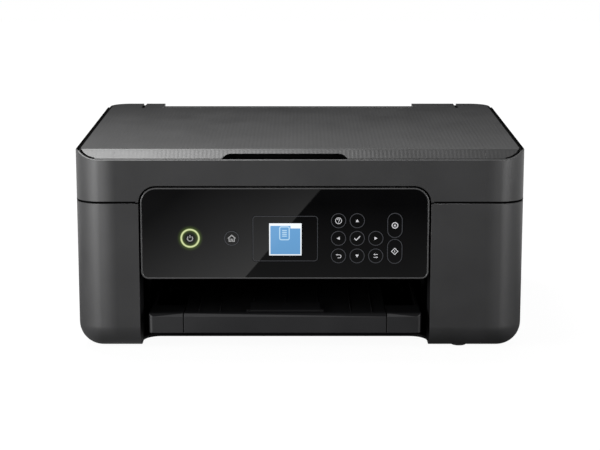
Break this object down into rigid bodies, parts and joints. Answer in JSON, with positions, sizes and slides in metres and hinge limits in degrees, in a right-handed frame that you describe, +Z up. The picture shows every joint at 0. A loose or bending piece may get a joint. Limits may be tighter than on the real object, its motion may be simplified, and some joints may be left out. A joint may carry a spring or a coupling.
{
  "type": "inkjet printer",
  "caption": "Desktop colour inkjet printer with a flatbed scanner under a hinged cover, a tilting control panel and a front paper cassette with an output tray.",
  "frame": {"origin": "on the table, under the middle of the case", "axes": "+X to the printer's right as seen from the front, +Y to its back, +Z up"},
  "size_m": [0.375, 0.3, 0.17],
  "materials": {
    "case_plastic": "fine matte moulded texture, charcoal black",
    "cover_plastic": "matte charcoal with fine front-to-back ridges",
    "fascia_gloss": "piano black, high gloss",
    "inner_plastic": "plain moulded black",
    "tray_plastic": "fine matte moulded texture, black",
    "screen": "gloss lens over a colour display",
    "ring_light": "translucent light guide, lit pale green",
    "rubber": "soft matte rubber",
    "steel": "ground steel",
    "roller_grey": "grit-coated roller with a moulded gear",
    "white_nylon": "natural white nylon",
    "board_green": "green solder mask",
    "supply_case": "plain moulded black",
    "clear_glass": "clear float glass",
    "white_foam": "white film over foam",
    "ink_k": "moulded black",
    "ink_c": "moulded cyan",
    "ink_m": "moulded magenta",
    "ink_y": "moulded yellow"
  },
  "bodies": {
    "base": {"base_case": "case_plastic", "rubber_feet": "rubber", "chassis_frame": "inner_plastic", "power_supply": "supply_case", "main_board": "board_green", "feed_motor": "steel", "carriage_motor": "steel", "platen": "inner_plastic", "carriage_shaft": "steel", "carriage_belt": "rubber"},
    "rear_cover": {"rear_cover": "case_plastic"},
    "scanner": {"scanner_housing": "case_plastic", "scanner_pan": "inner_plastic", "scanner_glass": "clear_glass", "scan_rod": "steel", "stay_arm": "steel"},
    "scan_bar": {"scan_bar": "inner_plastic"},
    "cover_hinges": {"cover_hinges": "cover_plastic"},
    "document_cover": {"document_cover": "cover_plastic", "cover_foam": "white_foam"},
    "control_panel": {"panel_fascia": "fascia_gloss", "panel_housing": "inner_plastic", "lcd_module": "screen", "panel_board": "board_green", "power_ring": "ring_light"},
    "paper_cassette": {"paper_cassette": "tray_plastic"},
    "output_tray": {"output_tray": "tray_plastic"},
    "paper_stop": {"paper_stop": "tray_plastic"},
    "side_guide_left": {"side_guide_left": "inner_plastic"},
    "side_guide_right": {"side_guide_right": "inner_plastic"},
    "guide_pinion": {"guide_pinion": "inner_plastic"},
    "end_guide": {"end_guide": "inner_plastic"},
    "carriage": {"printhead_carriage": "inner_plastic"},
    "drive_pulley": {"drive_pulley": "white_nylon"},
    "idler_pulley": {"idler_pulley": "white_nylon"},
    "feed_roller": {"feed_roller": "roller_grey"},
    "exit_roller": {"exit_roller": "roller_grey"},
    "idler_gear": {"idler_gear": "white_nylon"},
    "motor_pinion": {"motor_pinion": "steel"},
    "pinch_rollers": {"pinch_rollers": "white_nylon"},
    "pickup_arm": {"pickup_arm": "inner_plastic"},
    "pickup_roller": {"pickup_roller": "rubber"},
    "cap_station": {"cap_station": "inner_plastic"},
    "ink_black": {"ink_black": "ink_k"},
    "ink_cyan": {"ink_cyan": "ink_c"},
    "ink_magenta": {"ink_magenta": "ink_m"},
    "ink_yellow": {"ink_yellow": "ink_y"},
    "button_power": {"button_power": "fascia_gloss"},
    "button_home": {"button_home": "fascia_gloss"},
    "button_help": {"button_help": "fascia_gloss"},
    "button_up": {"button_up": "fascia_gloss"},
    "button_left": {"button_left": "fascia_gloss"},
    "button_ok": {"button_ok": "fascia_gloss"},
    "button_right": {"button_right": "fascia_gloss"},
    "button_back": {"button_back": "fascia_gloss"},
    "button_down": {"button_down": "fascia_gloss"},
    "button_settings": {"button_settings": "fascia_gloss"},
    "button_stop": {"button_stop": "fascia_gloss"},
    "button_start": {"button_start": "fascia_gloss"}
  },
  "joints": [
    {"name": "scanner_lift", "type": "hinge", "parent": "base", "child": "scanner", "pos_m": [0, 0.1435, 0.1265], "axis": [-1, 0, 0], "range_deg": [0, 38]},
    {"name": "cover_raise", "type": "slide", "parent": "scanner", "child": "cover_hinges", "axis": [0, 0, 1], "range_m": [0, 0.012]},
    {"name": "cover_open", "type": "hinge", "parent": "cover_hinges", "child": "document_cover", "pos_m": [0, 0.1458, 0.1656], "axis": [-1, 0, 0], "range_deg": [0, 80]},
    {"name": "panel_tilt", "type": "hinge", "parent": "base", "child": "control_panel", "pos_m": [0, -0.1466, 0.1366], "axis": [-1, 0, 0], "range_deg": [0, 40]},
    {"name": "scan_travel", "type": "slide", "parent": "scanner", "child": "scan_bar", "axis": [1, 0, 0], "range_m": [0, 0.28]},
    {"name": "cassette_pull", "type": "slide", "parent": "base", "child": "paper_cassette", "axis": [0, -1, 0], "range_m": [0, 0.2]},
    {"name": "tray_pull", "type": "slide", "parent": "paper_cassette", "child": "output_tray", "axis": [0, -1, 0], "range_m": [0, 0.09]},
    {"name": "stop_flip", "type": "hinge", "parent": "output_tray", "child": "paper_stop", "pos_m": [0, -0.1369, 0.0312], "axis": [1, 0, 0], "range_deg": [0, 75]},
    {"name": "left_guide_slide", "type": "slide", "parent": "paper_cassette", "child": "side_guide_left", "axis": [1, 0, 0], "range_m": [0, 0.04]},
    {"name": "right_guide_slide", "type": "slide", "parent": "paper_cassette", "child": "side_guide_right", "axis": [-1, 0, 0], "range_m": [0, 0.04]},
    {"name": "guide_pinion_spin", "type": "hinge", "parent": "paper_cassette", "child": "guide_pinion", "pos_m": [-0.0126, 0.02, 0.0163], "axis": [0, 0, 1], "continuous": true},
    {"name": "end_guide_slide", "type": "slide", "parent": "paper_cassette", "child": "end_guide", "axis": [0, 1, 0], "range_m": [0, 0.04]},
    {"name": "carriage_travel", "type": "slide", "parent": "base", "child": "carriage", "axis": [-1, 0, 0], "range_m": [0, 0.25]},
    {"name": "drive_pulley_spin", "type": "hinge", "parent": "base", "child": "drive_pulley", "pos_m": [-0.125, 0.086, 0.108], "axis": [0, 0, 1], "continuous": true},
    {"name": "idler_pulley_spin", "type": "hinge", "parent": "base", "child": "idler_pulley", "pos_m": [0.167, 0.086, 0.108], "axis": [0, 0, 1], "continuous": true},
    {"name": "feed_spin", "type": "hinge", "parent": "base", "child": "feed_roller", "pos_m": [0, 0.046, 0.051], "axis": [1, 0, 0], "continuous": true},
    {"name": "exit_spin", "type": "hinge", "parent": "base", "child": "exit_roller", "pos_m": [0, 0.002, 0.051], "axis": [1, 0, 0], "continuous": true},
    {"name": "idler_gear_spin", "type": "hinge", "parent": "base", "child": "idler_gear", "pos_m": [-0.157, 0.024, 0.051], "axis": [1, 0, 0], "continuous": true},
    {"name": "motor_spin", "type": "hinge", "parent": "base", "child": "motor_pinion", "pos_m": [-0.157, 0.046, 0.033], "axis": [1, 0, 0], "continuous": true},
    {"name": "pinch_spin", "type": "hinge", "parent": "base", "child": "pinch_rollers", "pos_m": [0, 0.046, 0.0613], "axis": [1, 0, 0], "continuous": true},
    {"name": "pickup_lift", "type": "hinge", "parent": "base", "child": "pickup_arm", "pos_m": [-0.0126, 0.072, 0.0245], "axis": [1, 0, 0], "range_deg": [0, 20]},
    {"name": "pickup_spin", "type": "hinge", "parent": "pickup_arm", "child": "pickup_roller", "pos_m": [-0.0126, 0.1, 0.0245], "axis": [1, 0, 0], "continuous": true},
    {"name": "cap_drop", "type": "slide", "parent": "base", "child": "cap_station", "axis": [0, 0, -1], "range_m": [0, 0.004]},
    {"name": "rear_cover_pull", "type": "slide", "parent": "base", "child": "rear_cover", "axis": [0, 1, 0], "range_m": [0, 0.03]},
    {"name": "ink_black_lift", "type": "slide", "parent": "carriage", "child": "ink_black", "axis": [0, 0, 1], "range_m": [0, 0.008]},
    {"name": "ink_cyan_lift", "type": "slide", "parent": "carriage", "child": "ink_cyan", "axis": [0, 0, 1], "range_m": [0, 0.008]},
    {"name": "ink_magenta_lift", "type": "slide", "parent": "carriage", "child": "ink_magenta", "axis": [0, 0, 1], "range_m": [0, 0.008]},
    {"name": "ink_yellow_lift", "type": "slide", "parent": "carriage", "child": "ink_yellow", "axis": [0, 0, 1], "range_m": [0, 0.008]},
    {"name": "button_power_press", "type": "slide", "parent": "control_panel", "child": "button_power", "axis": [0, 1, 0], "range_m": [0, 0.0005], "stiffness_N_per_m": 600},
    {"name": "button_home_press", "type": "slide", "parent": "control_panel", "child": "button_home", "axis": [0, 1, 0], "range_m": [0, 0.0005], "stiffness_N_per_m": 600},
    {"name": "button_help_press", "type": "slide", "parent": "control_panel", "child": "button_help", "axis": [0, 1, 0], "range_m": [0, 0.0005], "stiffness_N_per_m": 600},
    {"name": "button_up_press", "type": "slide", "parent": "control_panel", "child": "button_up", "axis": [0, 1, 0], "range_m": [0, 0.0005], "stiffness_N_per_m": 600},
    {"name": "button_left_press", "type": "slide", "parent": "control_panel", "child": "button_left", "axis": [0, 1, 0], "range_m": [0, 0.0005], "stiffness_N_per_m": 600},
    {"name": "button_ok_press", "type": "slide", "parent": "control_panel", "child": "button_ok", "axis": [0, 1, 0], "range_m": [0, 0.0005], "stiffness_N_per_m": 600},
    {"name": "button_right_press", "type": "slide", "parent": "control_panel", "child": "button_right", "axis": [0, 1, 0], "range_m": [0, 0.0005], "stiffness_N_per_m": 600},
    {"name": "button_back_press", "type": "slide", "parent": "control_panel", "child": "button_back", "axis": [0, 1, 0], "range_m": [0, 0.0005], "stiffness_N_per_m": 600},
    {"name": "button_down_press", "type": "slide", "parent": "control_panel", "child": "button_down", "axis": [0, 1, 0], "range_m": [0, 0.0005], "stiffness_N_per_m": 600},
    {"name": "button_settings_press", "type": "slide", "parent": "control_panel", "child": "button_settings", "axis": [0, 1, 0], "range_m": [0, 0.0005], "stiffness_N_per_m": 600},
    {"name": "button_stop_press", "type": "slide", "parent": "control_panel", "child": "button_stop", "axis": [0, 1, 0], "range_m": [0, 0.0005], "stiffness_N_per_m": 600},
    {"name": "button_start_press", "type": "slide", "parent": "control_panel", "child": "button_start", "axis": [0, 1, 0], "range_m": [0, 0.0005], "stiffness_N_per_m": 600}
  ],
  "couplings": [
    {"joint": "right_guide_slide", "follows": "left_guide_slide", "ratio": 1},
    {"joint": "guide_pinion_spin", "follows": "left_guide_slide", "rad_per_m": 125},
    {"joint": "drive_pulley_spin", "follows": "carriage_travel", "rad_per_m": 166.67},
    {"joint": "idler_pulley_spin", "follows": "carriage_travel", "rad_per_m": 166.67},
    {"joint": "exit_spin", "follows": "feed_spin", "ratio": 1},
    {"joint": "idler_gear_spin", "follows": "feed_spin", "ratio": -1.2},
    {"joint": "motor_spin", "follows": "feed_spin", "ratio": -2},
    {"joint": "pinch_spin", "follows": "feed_spin", "ratio": -1.5}
  ]
}
